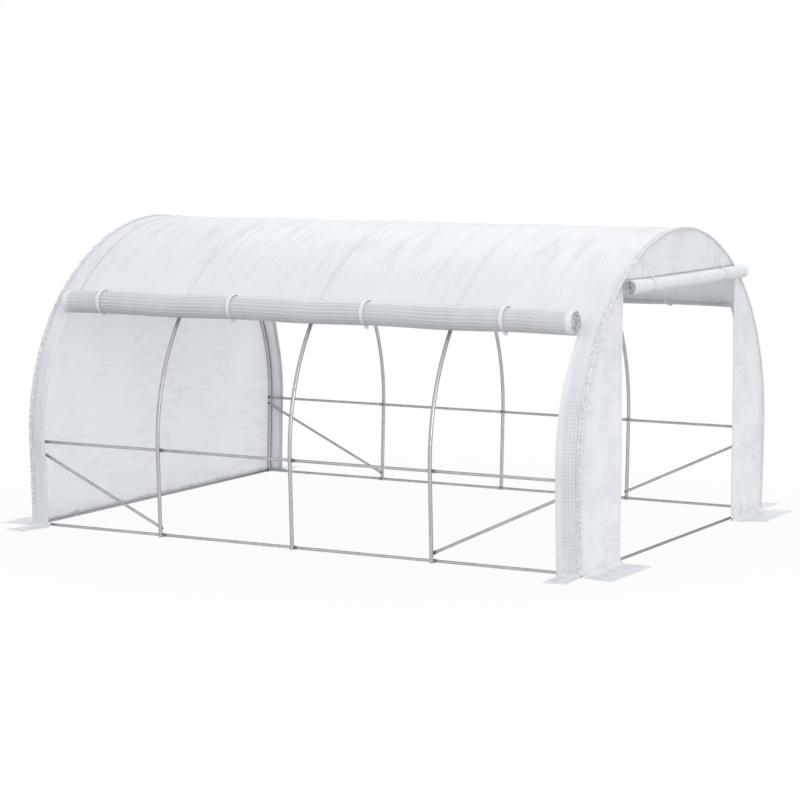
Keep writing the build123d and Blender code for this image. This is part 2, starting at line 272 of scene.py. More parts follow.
def buildGrimeGroup():
    # a little soil splashed up near the ground
    look = grimeLook
    group, given, result = newGroup("groundGrime", {"Height Above Ground": 1.0, "Place": None}, ("Grime",))
    low = rampNode(group, given["Height Above Ground"], 0.0, look["splash"], 1.0, 0.0)
    blotch = noiseNode(group, given["Place"], look["blotchScale"], 5.0, 0.6)
    grime = times(group, low, rampNode(group, blotch, *look["blotchRange"]))
    feed(group, result, {"Grime": grime})
    return group


weaveGroup = buildWeaveGroup()
creaseGroup = buildCreaseGroup()
grimeGroup = buildGrimeGroup()


def placeGroup(tree, group, inputs):
    return addNode(tree, "Group", inputs, node_tree=group).outputs


def newMaterial(name):
    material = bpy.data.materials.new(name)
    material.use_nodes = True
    return material, material.node_tree, material.node_tree.nodes["Principled BSDF"]


def objectPlace(tree):
    return addNode(tree, "TexCoord", {}).outputs["Object"]


def clothMetres(tree):
    return addNode(tree, "UVMap", {}, uv_map="clothMetres").outputs["UV"]


def clothMaterial(name, look):
    material, tree, shader = newMaterial(name)
    metres, place = clothMetres(tree), objectPlace(tree)
    threads = {"Across": look["across"], "Along": look["along"], "Thread Share": look["threadShare"]}
    weave = placeGroup(tree, weaveGroup, {"Metres": metres, **threads})
    slanted = mappingNode(tree, metres, look["pullStretch"], look["pullTurn"])
    scales = {"Pull Scale": look["pullScale"], "Crease Scale": look["creaseScale"]}
    creases = placeGroup(tree, creaseGroup, {"Metres": slanted, "Place": place, **scales})
    height = addNode(tree, "SeparateXYZ", {0: place}).outputs["Z"]
    grime = placeGroup(tree, grimeGroup, {"Height Above Ground": height, "Place": place})
    blotches = noiseNode(tree, place, look["patchScale"], 3.0)
    patches = rampNode(tree, blotches, *look["patchRange"], 1 - look["patchy"], 1.0)
    fade = rampNode(tree, height, look["fadeFrom"], look["fadeTo"], 1.0, look["fadeKeep"])
    grid = mixColour(tree, weave["Threads"], look["cell"], look["thread"])
    woven = mixColour(tree, times(tree, patches, fade), look["plain"], grid)
    # painted shade in the creases: the colour darkens towards the look's shade colour where the crease shade
    # mask is strong, the more so where tense is high
    tense = rampNode(tree, height, look["tenseFrom"], look["tenseTo"], look["tenseLow"], 1.0)
    unshadedShare = mathNode(tree, "SUBTRACT", 1.0, times(tree, creases["Crease Shade"], tense))
    creaseShadedColour = mixColour(tree, unshadedShare, look["shade"], (1, 1, 1, 1))
    clean = mixColour(tree, 1.0, woven, creaseShadedColour, "MULTIPLY")
    dirty = times(tree, grime["Grime"], look["grime"])
    colour = mixColour(tree, dirty, clean, grimeLook["soil"])
    rough = rampNode(tree, creases["Crease Shade"], 0.0, 1.0, *look["roughRange"])
    pull = times(tree, tense, look["pullBump"])
    pulled = bumpNode(tree, creases["Height"], pull, look["pullDepth"])
    normal = bumpNode(tree, weave["Height"], look["weaveBump"], look["weaveDepth"], pulled)
    finish = {"Base Color": colour, "Roughness": rough, "Specular IOR Level": look["shine"], "Normal": normal}
    feed(tree, shader, finish)
    through = addNode(tree, "BsdfTranslucent", {"Color": colour, "Normal": pulled}).outputs[0]
    cloth = mixShaders(tree, look["glow"], shader.outputs[0], through)
    feed(tree, tree.nodes["Material Output"], {"Surface": cloth})
    return material


baseLook = {
    "cell": (0.80, 0.82, 0.84, 1),
    "thread": (0.93, 0.94, 0.95, 1),
    "shade": (0.95, 0.955, 0.965, 1),
    "plain": (0.90, 0.91, 0.925, 1),
    "tenseFrom": -2.0,
    "tenseTo": -1.0,
    "tenseLow": 1.0,
    "across": 1.0,
    "along": 1.0,
    "threadShare": 0.20,
    "pullStretch": (1.0, 0.16, 1.0),
    "pullTurn": math.radians(-15),
    "pullScale": 16.0,
    "creaseScale": 9.0,
    "pullBump": 0.35,
    "pullDepth": 0.012,
    "weaveBump": 0.25,
    "weaveDepth": 0.0008,
    "roughRange": (0.32, 0.44),
    "shine": 0.6,
    "glow": 0.42,
    "grime": 0.25,
    "patchy": 0.3,
    "patchScale": 3.1,
    "patchRange": (0.42, 0.6),
    "fadeFrom": 5.0,
    "fadeTo": 6.0,
    "fadeKeep": 1.0,
}
roofLook = {
    **baseLook,
    "cell": (0.865, 0.88, 0.895, 1),
    "shade": (0.925, 0.93, 0.94, 1),
    "glow": 0.28,
    "patchy": 0.7,
    "pullStretch": (1.0, 0.13, 1.0),
    "pullScale": 15.0,
    "creaseScale": 11.0,
    "pullBump": 1.25,
    "tenseFrom": 1.5,
    "tenseTo": 1.86,
    "tenseLow": 0.2,
}
bandLook = {
    **baseLook,
    "cell": (0.79, 0.805, 0.825, 1),
    "thread": (0.95, 0.96, 0.97, 1),
    "plain": (0.92, 0.93, 0.945, 1),
    "pullBump": 0.2,
    "glow": 0.34,
    "fadeFrom": 0.95,
    "fadeTo": 1.5,
    "fadeKeep": 0.12,
}
# painted light: a paler copy of the band cloth, so that the inside faces of the roof and bands read as well
# lit
innerPaintedLightLook = {
    **bandLook,
    "cell": (0.88, 0.89, 0.905, 1),
    "thread": (0.97, 0.975, 0.98, 1),
    "plain": (0.95, 0.955, 0.965, 1),
    "fadeKeep": 0.8,
}
wallLook = {
    **baseLook,
    "cell": (0.88, 0.893, 0.907, 1),
    "thread": (0.98, 0.985, 0.99, 1),
    "plain": (0.95, 0.956, 0.962, 1),
    "patchScale": 5.0,
    "across": 0.25,
    "pullStretch": (0.22, 1.0, 1.0),
    "pullTurn": math.radians(6),
    "pullScale": 26.0,
    "pullBump": 0.25,
    "glow": 0.5,
    "patchy": 0.9,
}
# painted light: the closed end wall is paler than the door wall's cloth, so that its inside, in the tunnel's
# shade, reads as well lit
closedWallPaintedLightLook = {**wallLook, "cell": (0.93, 0.94, 0.955, 1), "plain": (0.94, 0.95, 0.965, 1), "glow": 0.62}
# painted shade: the rolled-up sides are much darker than the roof cloth they are made of, standing in for the
# shade between the turns and under the roll
rollShadeLook = {
    **baseLook,
    "cell": (0.565, 0.58, 0.605, 1),
    "thread": (0.81, 0.82, 0.835, 1),
    "plain": (0.67, 0.685, 0.705, 1),
    "across": 0.2,
    "glow": 0.03,
    "pullBump": 0.12,
}
# painted shade: the back roll, seen from inside the tunnel, is darker again than the front one
backRollShadeLook = {**rollShadeLook, "plain": (0.62, 0.635, 0.66, 1), "fadeKeep": 0.3, "fadeFrom": 0.0, "fadeTo": 1.0}
# painted shade: the rolled-up door is darker than the door wall's cloth it is made of, standing in for the
# shade between its turns
doorRollShadeLook = {
    **rollShadeLook,
    "cell": (0.68, 0.695, 0.715, 1),
    "thread": (0.84, 0.85, 0.865, 1),
    "plain": (0.74, 0.755, 0.77, 1),
    "patchy": 0.6,
    "pullBump": 0.4,
}
roofCloth = clothMaterial("roofCloth", roofLook)
bandCloth = clothMaterial("bandCloth", bandLook)
innerPaintedLightCloth = clothMaterial("innerPaintedLightCloth", innerPaintedLightLook)
wallCloth = clothMaterial("wallCloth", wallLook)
closedWallPaintedLightCloth = clothMaterial("closedWallPaintedLightCloth", closedWallPaintedLightLook)
rollCloth = clothMaterial("rollCloth", {**rollShadeLook, "patchy": 0.5})
backRollShadeCloth = clothMaterial("backRollShadeCloth", backRollShadeLook)
doorRollShadeCloth = clothMaterial("doorRollShadeCloth", doorRollShadeLook)
skirtCloth = clothMaterial("skirtCloth", {**baseLook, "cell": (0.88, 0.89, 0.905, 1), "grime": 0.2})

tapeLook = {
    "dark": (0.74, 0.755, 0.78, 1),
    "pale": (0.82, 0.83, 0.85, 1),
    "toneRange": (0.3, 0.7),
    "roughRange": (0.5, 0.62),
    "fibreScale": 30.0,
    "fibreStretch": (1, 0.2, 1),
    "pitch": 0.006,
    "threadShare": 0.3,
    "bump": 0.3,
    "depth": 0.0006,
}


def tapeMaterial(name, look):
    material, tree, shader = newMaterial(name)
    metres = clothMetres(tree)
    threads = {"Pitch": look["pitch"], "Thread Share": look["threadShare"]}
    weave = placeGroup(tree, weaveGroup, {"Metres": metres, **threads})
    soft = noiseNode(tree, mappingNode(tree, metres, look["fibreStretch"]), look["fibreScale"], 3.0)
    colour = mixColour(tree, rampNode(tree, soft, *look["toneRange"]), look["dark"], look["pale"])
    rough = rampNode(tree, soft, 0.0, 1.0, *look["roughRange"])
    normal = bumpNode(tree, weave["Height"], look["bump"], look["depth"])
    feed(tree, shader, {"Base Color": colour, "Roughness": rough, "Normal": normal})
    return material


def zincMaterial(name, look):
    # dull zinc with faint spangle, and a painted dark reflection along the edges where the tube turns away
    material, tree, shader = newMaterial(name)
    place = objectPlace(tree)
    spangle = addNode(tree, "TexVoronoi", {"Vector": place, "Scale": look["spangleScale"]}).outputs["Color"]
    grey = addNode(tree, "SeparateColor", {0: spangle}).outputs[0]
    smudge = noiseNode(tree, place, look["smudgeScale"], 5.0, 0.6)
    blend = mathNode(tree, "MULTIPLY_ADD", grey, look["spangle"], smudge)
    zinc = mixColour(tree, rampNode(tree, blend, *look["toneRange"]), look["dark"], look["pale"])
    # painted dark reflection: the colour turns to the rim grey where the surface faces away from the camera
    facing = addNode(tree, "LayerWeight", {"Blend": 0.5}).outputs["Facing"]
    colour = mixColour(tree, rampNode(tree, facing, *look["paintedEdgeRange"]), zinc, look["rim"])
    rough = rampNode(tree, blend, *look["toneRange"], look["rough"] + 0.1, look["rough"] - 0.05)
    normal = bumpNode(tree, smudge, look["bump"], look["depth"])
    finish = {"Base Color": colour, "Roughness": rough, "Metallic": look["metal"], "Normal": normal}
    feed(tree, shader, finish)
    return material


def plainMaterial(name, colour, rough, speckleScale=60.0, depth=0.72):
    # a flat colour with a darker noise speckle; every material made with it is painted shade
    material, tree, shader = newMaterial(name)
    soft = noiseNode(tree, objectPlace(tree), speckleScale, 3.0)
    darker = tuple(depth * c for c in colour[:3]) + (1,)
    mixed = mixColour(tree, rampNode(tree, soft, 0.42, 0.58), darker, colour)
    feed(tree, shader, {"Base Color": mixed, "Roughness": rough})
    return material


tubeZincLook = {
    "dark": (0.40, 0.405, 0.415, 1),
    "pale": (0.55, 0.555, 0.565, 1),
    # the grey of the painted dark reflection along the tubes' edges
    "rim": (0.25, 0.25, 0.255, 1),
    "rough": 0.32,
    "metal": 0.85,
    "spangle": 0.35,
    "spangleScale": 220.0,
    "smudgeScale": 18.0,
    "toneRange": (0.3, 1.0),
    "paintedEdgeRange": (0.18, 0.62),
    "bump": 0.12,
    "depth": 0.0004,
}
boltZincLook = {
    **tubeZincLook,
    "dark": (0.16, 0.165, 0.17, 1),
    "pale": (0.34, 0.35, 0.36, 1),
    # the grey of the painted dark reflection along the bolts' edges
    "rim": (0.12, 0.12, 0.125, 1),
    "rough": 0.4,
    "metal": 0.9,
}
hemTape = tapeMaterial("hemTape", tapeLook)
zincTube = zincMaterial("zincTube", tubeZincLook)
zincBolt = zincMaterial("zincBolt", boltZincLook)
# painted shade: grey for the end faces of the rolls and for the inner turns near their ends
rollEndShade = plainMaterial("rollEndShade", (0.66, 0.67, 0.69, 1), 0.8)
# painted shadow: dark grey for the thin beads on the closed end's roof seam and above the rolled-up door
seamShadowGrey = plainMaterial("seamShadowGrey", (0.52, 0.535, 0.56, 1), 0.7)
# painted shade: grey with darker speckle for the puckers of the gathered seam and of the strip beside it
gatheredHem = plainMaterial("gatheredHem", (0.78, 0.79, 0.81, 1), 0.8, speckleScale=62.0, depth=0.80)
print("materials made")

# Modelling helpers


def clearSelection():
    if bpy.context.object and bpy.context.object.mode != "OBJECT":
        bpy.ops.object.mode_set(mode="OBJECT")
    bpy.ops.object.select_all(action="DESELECT")


def pick(*pieces):
    # selects only these pieces, with the first one active
    clearSelection()
    for piece in pieces:
        piece.select_set(True)
    bpy.context.view_layer.objects.active = pieces[0]


def editPiece(piece):
    pick(piece)
    bpy.ops.object.mode_set(mode="EDIT")


def choose(kind, test):
    # selects the vertices, edges or faces in edit mode that pass the test
    bpy.ops.mesh.select_mode(type={"verts": "VERT", "edges": "EDGE", "faces": "FACE"}[kind])
    bpy.ops.mesh.select_all(action="DESELECT")
    mesh = bmesh.from_edit_mesh(bpy.context.object.data)
    for item in getattr(mesh, kind):
        if test(item):
            item.select_set(True)
    mesh.select_flush_mode()
    bmesh.update_edit_mesh(bpy.context.object.data)


def extrude(move):
    bpy.ops.mesh.extrude_region_move(TRANSFORM_OT_translate={"value": move})


def facesOut():
    # turns the faces outwards and leaves edit mode
    bpy.ops.mesh.select_all(action="SELECT")
    bpy.ops.mesh.normals_make_consistent(inside=False)
    bpy.ops.object.mode_set(mode="OBJECT")


def applyModifiers(piece):
    pick(piece)
    for modifier in list(piece.modifiers):
        bpy.ops.object.modifier_apply(modifier=modifier.name)


def settle(piece):
    # puts the piece's place into its mesh
    pick(piece)
    bpy.ops.object.transform_apply(location=True, rotation=True, scale=True)


def namePiece(piece, name):
    piece.name = piece.data.name = name
    return piece


def copyPiece(piece, name, matrix):
    twin = piece.copy()
    twin.data = piece.data.copy()
    scene.collection.objects.link(twin)
    twin.data.transform(matrix)
    return namePiece(twin, name)


def joinPieces(pieces, name):
    pick(*pieces)
    bpy.ops.object.join()
    return namePiece(bpy.context.object, name)


def smoothPiece(piece, angle):
    pick(piece)
    bpy.ops.object.shade_smooth_by_angle(angle=math.radians(angle))


def dressPiece(piece, material, slotName, *nodes):
    if material:
        piece.data.materials.append(material)
    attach(piece, "root")
    if nodes:
        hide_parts(*nodes)
    return piece


def dressTube(tube, node, angle):
    smoothPiece(tube, angle)
    dressPiece(tube, zincTube, "galvanised_steel", node)


def outward(a, side):
    # runs a grid the other way on the other side, so that its faces still point outwards
    return a if side > 0 else 1 - a


def clothGrid(name, cells, placeAt, thickness, material, inner=None):
    # a sheet laid out flat as a grid, then moved to its place, with its cut size in metres as its UV map
    clearSelection()
    bpy.ops.mesh.primitive_grid_add(x_subdivisions=cells[0], y_subdivisions=cells[1], size=2)
    piece = namePiece(bpy.context.object, name)
    mesh = piece.data
    metres = []
    for vertex in mesh.vertices:
        vertex.co, flat = placeAt((vertex.co.x + 1) / 2, (vertex.co.y + 1) / 2)
        metres.append(flat)
    layer = mesh.uv_layers[0]
    layer.name = "clothMetres"
    for loop in mesh.loops:
        layer.data[loop.index].uv = metres[loop.vertex_index]
    mesh.update()
    mesh.materials.append(material)
    wall = piece.modifiers.new("thickness", "SOLIDIFY")
    wall.thickness = thickness
    wall.offset = -1
    if inner:
        mesh.materials.append(inner)
        wall.material_offset = 1
    applyModifiers(piece)
    smoothPiece(piece, 50)
    return piece


def makeSheet(node, cells, placeAt, thickness, material, inner=None, **facts):
    # a sheet of the cover, in the place of the node that it is named after
    sheet = clothGrid(node.removesuffix("_panel") + "_cloth", cells, placeAt, thickness, material, inner)
    dressPiece(sheet, None, "cover_sheet", node)
    return sheet


# Frame tubes

tubeLook = {"sides": 20, "haunchSteps": 24, "crownSteps": 46, "smoothAngle": 40}


def makeHoop():
    # a ring at the front foot, pushed up the leg, spun over the haunches and the crown, and pushed down again
    foot, _ = outlinePoint(-footReach, 0)
    clearSelection()
    bpy.ops.mesh.primitive_circle_add(
        vertices=tubeLook["sides"], radius=tubeRadius, location=(0, foot.x, 0), rotation=(lean, 0, 0)
    )
    hoop = bpy.context.object
    settle(hoop)
    editPiece(hoop)
    bpy.ops.mesh.select_mode(type="EDGE")
    bpy.ops.mesh.select_all(action="SELECT")
    extrude(Vector((0, -math.sin(lean), math.cos(lean))) * legLength)
    for centreY, centreZ, sweep, steps in (
        (-haunchCentre[0], haunchCentre[1], haunchSweep, tubeLook["haunchSteps"]),
        (0, crownCentreZ, math.pi - 2 * shoulderAngle, tubeLook["crownSteps"]),
        (haunchCentre[0], haunchCentre[1], haunchSweep, tubeLook["haunchSteps"]),
    ):
        bpy.ops.mesh.spin(steps=steps, angle=sweep, center=(0, centreY, centreZ), axis=(1, 0, 0))
    extrude(Vector((0, -math.sin(lean), -math.cos(lean))) * legLength)
    for side in (-1, 1):
        choose("verts", lambda v: v.co.z < 0.002 and v.co.y * side > 0)
        bpy.ops.transform.resize(value=(1, 1, 0), center_override=(0, 0, 0))
        bpy.ops.mesh.edge_face_add()
    bpy.ops.mesh.select_all(action="SELECT")
    bpy.ops.mesh.remove_doubles(threshold=0.00001)
    facesOut()
    return hoop


hoopMaster = makeHoop()
hoopNodes = ["closed_end_hoop", "second_hoop", "middle_hoop", "fourth_hoop", "door_end_hoop"]
for node, x in zip(hoopNodes, stations):
    hoop = copyPiece(hoopMaster, node + "_tube", Matrix.Translation((x, 0, 0)))
    dressTube(hoop, node, tubeLook["smoothAngle"])
bpy.data.objects.remove(hoopMaster)
print("hoops made")

railLook = {
    "radius": 0.0095,
    "sides": 20,
    "tabReach": 0.020,
    "taper": 0.018,
    "tabWidth": 0.025,
    "tabThick": 0.003,
    "crush": (0.45, 0.55),
    "roundedTip": ((0.006, 0.88), (0.004, 0.68), (0.002, 0.4)),
    "heights": {"base": 0.0126, "mid": 0.572},
    "endGap": 0.012,
    "smoothAngle": 35,
}


def makeRailTube(name, length):
    # one round tube along X whose two ends are crushed flat for a bolt
    look = railLook
    plainLength = length - 2 * (look["tabReach"] + look["taper"])
    clearSelection()
    bpy.ops.mesh.primitive_cylinder_add(
        vertices=look["sides"], radius=look["radius"], depth=plainLength, rotation=(0, math.pi / 2, 0)
    )
    tube = namePiece(bpy.context.object, name)
    settle(tube)
    editPiece(tube)
    widen, thin = look["tabWidth"] / 2 / look["radius"], look["tabThick"] / 2 / look["radius"]
    halfway = (1 + look["crush"][0] * (widen - 1), 1 - look["crush"][1] * (1 - thin))
    half = look["taper"] * 0.5
    steps = [(half, halfway), (half, (widen / halfway[0], thin / halfway[1])), (look["tabReach"], (1, 1))]
    steps += [(step, (narrow, 1)) for step, narrow in look["roundedTip"]]
    for side in (-1, 1):
        choose("faces", lambda f: f.normal.x * side > 0.9)
        start = side * (length / 2 - look["tabReach"] - look["taper"])
        for step, scale in steps:
            start += side * step
            extrude((side * step, 0, 0))
            bpy.ops.transform.resize(value=(1, *scale), center_override=(start, 0, 0))
    bpy.ops.object.mode_set(mode="OBJECT")
    return tube


def sidePlane(height, side, x=0.0, along=(1, 0, 0)):
    # the plane of the tabs against the inner face of the legs: X along the rail, Z to the inside
    leg, _ = outlinePoint(footReach - height, 0)
    inward = Vector((0, -side * math.cos(lean), math.sin(lean)))
    ahead = Vector(along).normalized()
    across = inward.cross(ahead)
    gap = tubeRadius + railLook["tabThick"] / 2
    centre = Vector((x, side * leg.x, leg.y)) + inward * gap
    return Matrix.Translation(centre) @ Matrix((ahead, across, inward)).transposed().to_4x4()


bayTube = makeRailTube("bayTube", 1.0)


def makeRail(node, plane):
    # four tubes end to end; each second one laps over its neighbours' tabs
    tubes = []
    for number, (left, right) in enumerate(zip(stations, stations[1:])):
        lap = railLook["tabThick"] if number % 2 else 0
        shift = Matrix.Translation(((left + right) / 2, 0, lap))
        tubes.append(copyPiece(bayTube, f"{node}_tubes{number}", plane @ shift))
    dressTube(joinPieces(tubes, node + "_tubes"), node, railLook["smoothAngle"])


for sideName, side in sides:
    for level, height in railLook["heights"].items():
        makeRail(f"{sideName}_{level}_rail", sidePlane(height, side))
ridgeZ = crownCentreZ + crownRadius - tubeRadius - railLook["tabThick"] / 2
ridgePlane = Matrix.Translation((0, 0, ridgeZ)) @ Matrix.Rotation(math.pi, 4, "X")
makeRail("ridge_rail", ridgePlane)

braceLine = ((0.058, 1.0), (0.526, 2.0))  # height and distance from the middle, of the foot and the head
for endName, end in ends:
    for sideName, side in sides:
        node = f"{sideName}_{endName}_brace"
        low, high = (sidePlane(height, side, end * x).translation for height, x in braceLine)
        plane = sidePlane(braceLine[0][0], side, end * braceLine[0][1], high - low)
        brace = makeRailTube(node + "_tube", (high - low).length)
        lift = Matrix.Translation(((high - low).length / 2, 0, railLook["tabThick"] * 0.5))
        brace.data.transform(plane @ lift)
        dressTube(brace, node, railLook["smoothAngle"])

for endName, end in reversed(ends):
    node = f"{endName}_base_rail"
    low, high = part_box(node)
    rail = makeRailTube(node + "_tube", high.y - low.y - 2 * railLook["endGap"])
    x = end * (stations[-1] - tubeRadius - railLook["tabThick"] / 2)
    turn = Matrix.Rotation(math.pi / 2, 4, "Z") @ Matrix.Rotation(math.pi / 2, 4, "X")
    rail.data.transform(Matrix.Translation((x, 0, railLook["heights"]["base"])) @ turn)
    dressTube(rail, node, railLook["smoothAngle"])
bpy.data.objects.remove(bayTube)
print("rails and braces made")

# Bolts through the tabs

boltLook = {
    "head": 0.0065,
    "headThick": 0.005,
    "washer": 0.009,
    "washerThick": 0.0015,
    "tip": 0.003,
    "tipOut": 0.006,
    "edge": 0.0006,
}


def makeBolt():
    # a washer, a six-sided nut and the end of the thread, standing on Z
    look = boltLook
    layers = (
        (20, look["washer"], look["washerThick"], look["washerThick"] / 2),
        (6, look["head"], look["headThick"], look["washerThick"] + look["headThick"] / 2),
    )
    discs = []
    for corners, radius, depth, z in layers:
        clearSelection()
        bpy.ops.mesh.primitive_cylinder_add(vertices=corners, radius=radius, depth=depth, location=(0, 0, z))
        discs.append(bpy.context.object)
    editPiece(discs[1])
    choose("faces", lambda f: f.normal.z > 0.9)
    bpy.ops.mesh.inset(thickness=look["head"] - look["tip"] - 0.001, depth=0)
    extrude((0, 0, look["tipOut"]))
    bpy.ops.object.mode_set(mode="OBJECT")
    bolt = joinPieces(discs, "bolt")
    settle(bolt)
    edge = bolt.modifiers.new("edges", "BEVEL")
    edge.width, edge.segments, edge.limit_method = look["edge"], 2, "ANGLE"
    applyModifiers(bolt)
    return bolt


bolt = makeBolt()
tabSeat = Matrix.Translation((0, 0, railLook["tabThick"]))
lapSeat = Matrix.Translation((0, 0, railLook["tabThick"] * 1.5))
boltPlaces = []
for side in (-1, 1):
    for height in railLook["heights"].values():
        boltPlaces += [sidePlane(height, side, x) @ lapSeat for x in stations]
    for end in (-1, 1):
        boltPlaces += [sidePlane(height, side, end * x) @ tabSeat for height, x in braceLine]
boltPlaces += [ridgePlane @ Matrix.Translation((x, 0, 0)) @ lapSeat for x in stations]
bolts = joinPieces([copyPiece(bolt, f"bolt{n}", place) for n, place in enumerate(boltPlaces)], "frame_bolts")
smoothPiece(bolts, 30)
dressPiece(bolts, zincBolt, "galvanised_steel")
bpy.data.objects.remove(bolt)
print("bolts made:", len(boltPlaces))

# Cover cloth over the hoops

coverLook = {
    "thickness": 0.0012,
    "sag": 0.006,
    "foldSlant": 0.27,
    "foldHeight": 0.0054,
    "foldsPerMetre": (6.0, 9.0),
    "crownReach": (0.5, 1.35),
    "rollAngle": math.radians(39.4),
    "cell": 0.019,
    "bandCells": (9, 0.016),
    "footGap": 0.004,
}
edgeLook = {"wobble": 0.004, "wave": 0.0025, "pull": {-1: -0.027, 1: -0.014}, "pullHeight": (1.0, 1.4)}
rollAngle = coverLook["rollAngle"]


def reachAtAngle(angle):
    return crownLength + haunchRadius * (shoulderAngle - angle)


rollReach = reachAtAngle(rollAngle)


def coverRelief(x, reach):
    # how far the cover stands off its plain outline: it sags between hoops and pulls into slanting folds
    look = coverLook
    between = math.sin(math.pi * x) ** 2
    nearCrown = 1 - ease(abs(reach), *look["crownReach"])
    sag = -look["sag"] * between * nearCrown
    across = x + look["foldSlant"] * reach + 0.05 * ripple(x * 1.3, reach * 1.1, 21.0)
    wide = ripple(across * look["foldsPerMetre"][0], reach * 1.4, 2.7)
    narrow = 0.6 - 2 * abs(ripple(across * look["foldsPerMetre"][1], reach * 2.6, 8.3))
    patches = ease(ripple(x * 2.3, reach * 2.4, 14.0), -0.1, 0.3)
    pulls = 0.5 * wide + 0.9 * narrow * patches
    folds = look["foldHeight"] * pulls * (0.2 + 0.8 * nearCrown) * (0.45 + 0.55 * between)
    return sag + folds


def coverPlace(x, reach, lift=0.0):
    flat, _ = outlinePoint(reach, sheetOffset + coverRelief(x, reach) + lift)
    return Vector((x, flat.x, flat.y))


def bandDrape(end, x, reach):
    # below the roll a band's free edge wobbles and is drawn towards the closed end, and its face waves
    look = edgeLook
    drop = ease(abs(reach), rollReach, footReach)
    shift = end * look["wobble"] * ripple(reach * 3.1, 0.5, 6.0 + end) * drop
    shift += look["pull"][end] * (1 - ease(outlinePoint(reach, 0)[0].y, *look["pullHeight"]))
    return shift, look["wave"] * drop * ripple(x * 9, reach * 3.0, 4.4)


def roofPlace(a, b):
    x, reach = bandEdge * (2 * a - 1), rollReach * (2 * b - 1)
    return coverPlace(x, reach), (x, reach)


roofCells = (int(2 * bandEdge / coverLook["cell"]), int(2 * rollReach / coverLook["cell"]))
makeSheet(
    "roof_panel", roofCells, roofPlace, coverLook["thickness"], roofCloth, innerPaintedLightCloth,
    flat=(2 * bandEdge, 2 * rollReach),
    held="stretched",
    rests_on=[node + "_tube" for node in hoopNodes],
)

footStop = footReach - coverLook["footGap"]
bandCells = (coverLook["bandCells"][0], int(2 * footReach / coverLook["bandCells"][1]))


def bandPlace(a, b, end):
    share = outward(a, end)
    x = end * (bandEdge + (wallFace - bandEdge) * share)
    reach = footStop * (2 * b - 1)
    shift, wave = bandDrape(end, x, reach)
    return coverPlace(x + shift * (1 - share), reach, wave), (x, reach)


for endName, end in ends:
    placeAt = partial(bandPlace, end=end)
    makeSheet(
        endName + "_band", bandCells, placeAt, coverLook["thickness"], bandCloth, innerPaintedLightCloth,
        flat=(wallFace - bandEdge, 2 * footStop),
        held="stretched",
        rests_on=[endName + "_hoop_tube"],
    )
print("cover made")

# End walls

wallShape = {
    "thickness": 0.0012,
    "swell": 0.0035,
    "doorEdge": 0.92,
    "head": 1.69,
    "foot": 0.002,
    "inset": 0.0005,
    "closedCells": (150, 110),
    "panelCells": (46, 150),
    "topCells": (120, 26),
}
doorEdge = wallShape["doorEdge"]
insideHoop = sheetOffset - wallShape["inset"]
wallTop = crownHeightAt(0, sheetOffset)
doorPeak = crownHeightAt(doorEdge, sheetOffset)


def wallRelief(y, z):
    # shallow ripples along the threads and a few long pulls, still at the hoop
    rim = halfWidthAt(min(max(z, 0.02), 2.0), 0) - abs(y)
    lines = ripple(y * 2.2, z * 26, 5.0) * 0.35
    pulls = ripple(y * 3.0 + z * 1.5, z * 2.5 - y, 9.0)
    dents = ripple(y * 8, z * 9, 1.7) * 0.35
    return wallShape["swell"] * ease(rim, 0.0, 0.12) * (pulls + lines + dents)


def closedWallPlace(a, b):
    z = wallShape["foot"] + (wallTop - 2 * wallShape["foot"]) * (1 - (1 - b) ** 1.25)
    y = halfWidthAt(z, insideHoop) * (1 - 2 * a)
    return Vector((-wallFace - wallRelief(y, z), y, z)), (y, z)


def panelPlace(a, b, side):
    z = wallShape["foot"] + (doorPeak - 2 * wallShape["foot"]) * b
    y = side * (doorEdge + (halfWidthAt(z, insideHoop) - doorEdge) * outward(a, side))
    return Vector((wallFace + wallRelief(y, z), y, z)), (y, z)


def topPlace(a, b):
    y = doorEdge * (2 * a - 1)
    z = wallShape["head"] + (crownHeightAt(y, insideHoop) - wallShape["head"]) * b
    return Vector((wallFace + wallRelief(y, z), y, z)), (y, z)


makeSheet(
    "closed_end_wall", wallShape["closedCells"], closedWallPlace, wallShape["thickness"], closedWallPaintedLightCloth,
    flat=(2 * (hoopShape["halfSpan"] + sheetOffset), wallTop),
    area=areaOver(wallTop, 400, lambda z: 2 * halfWidthAt(z, sheetOffset)),
    held="stretched",
    rests_on=["closed_end_hoop_tube"],
)
for sideName, side in sides:
    node, placeAt = f"door_wall_{sideName}_panel", partial(panelPlace, side=side)
    makeSheet(
        node, wallShape["panelCells"], placeAt, wallShape["thickness"], wallCloth,
        flat=(hoopShape["halfSpan"] + sheetOffset - doorEdge, doorPeak),
        area=areaOver(doorPeak, 200, lambda z: halfWidthAt(z, sheetOffset) - doorEdge),
        held="hung",
        rests_on=["door_end_hoop_tube"],
    )
makeSheet(
    "door_wall_top_panel", wallShape["topCells"], topPlace, wallShape["thickness"], wallCloth,
    flat=(2 * doorEdge, wallTop - wallShape["head"]),
    area=areaOver(doorEdge, 200, lambda y: 2 * (crownHeightAt(y, sheetOffset) - wallShape["head"])),
    held="hung",
    rests_on=["door_end_hoop_tube"],
)
print("end walls made")

# Hems, zips and the gathered seam round each end

hemLook = {
    "width": 0.036,
    "thickness": 0.0012,
    "topAngle": math.radians(37),
    "edgeIn": 0.001,
    "footGap": 0.005,
    "lift": 0.0015,
    "fold": 0.0006,
    "cells": (5, 120),
}
hemTopReach = reachAtAngle(hemLook["topAngle"])


